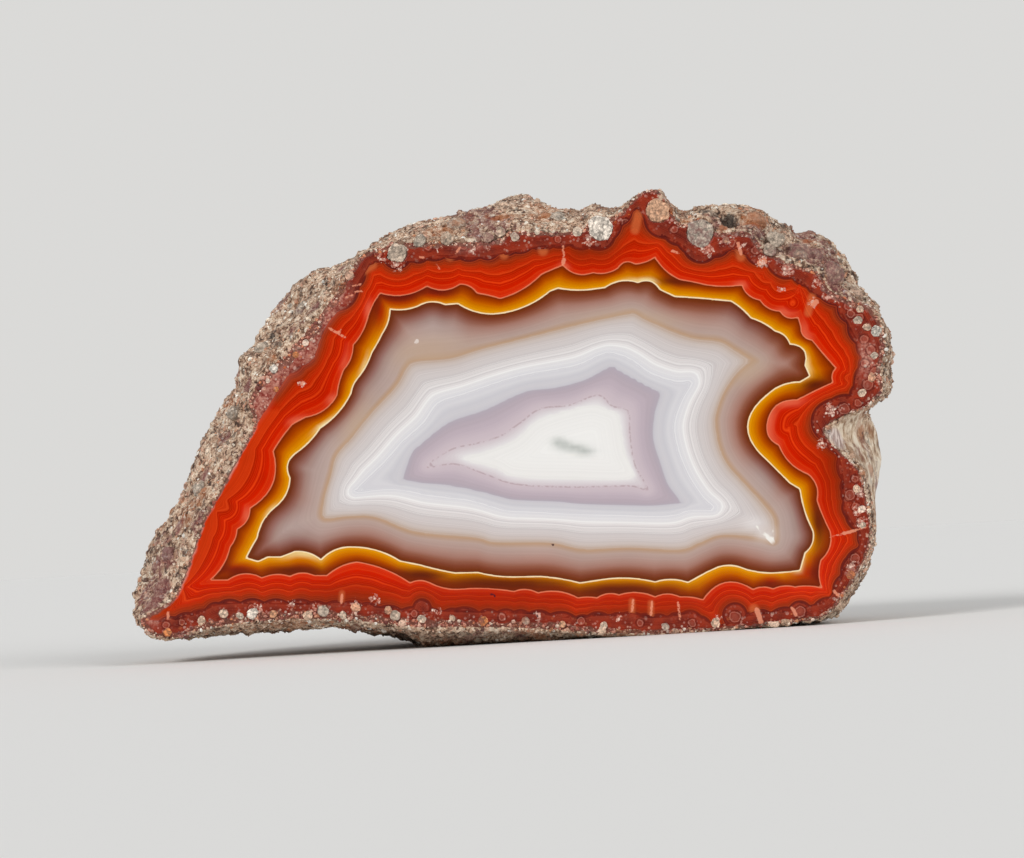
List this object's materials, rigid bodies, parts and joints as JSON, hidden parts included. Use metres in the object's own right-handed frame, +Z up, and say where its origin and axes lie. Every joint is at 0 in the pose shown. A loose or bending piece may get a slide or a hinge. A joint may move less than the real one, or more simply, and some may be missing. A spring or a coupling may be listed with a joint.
{
  "type": "agate half nodule",
  "caption": "Half of a banded agate nodule with a sawn, polished face and a rough pebbly rind, standing on a worn flat.",
  "frame": {"origin": "middle of the stone's box, on the surface that it stands on", "axes": "+Z up, the sawn face looks along -Y, +X to the right of someone looking at that face"},
  "size_m": [0.0779, 0.0276, 0.0454],
  "materials": {
    "agate": "polished face, rough rind"
  },
  "bodies": {
    "root": {"agate": "agate"}
  },
  "joints": []
}
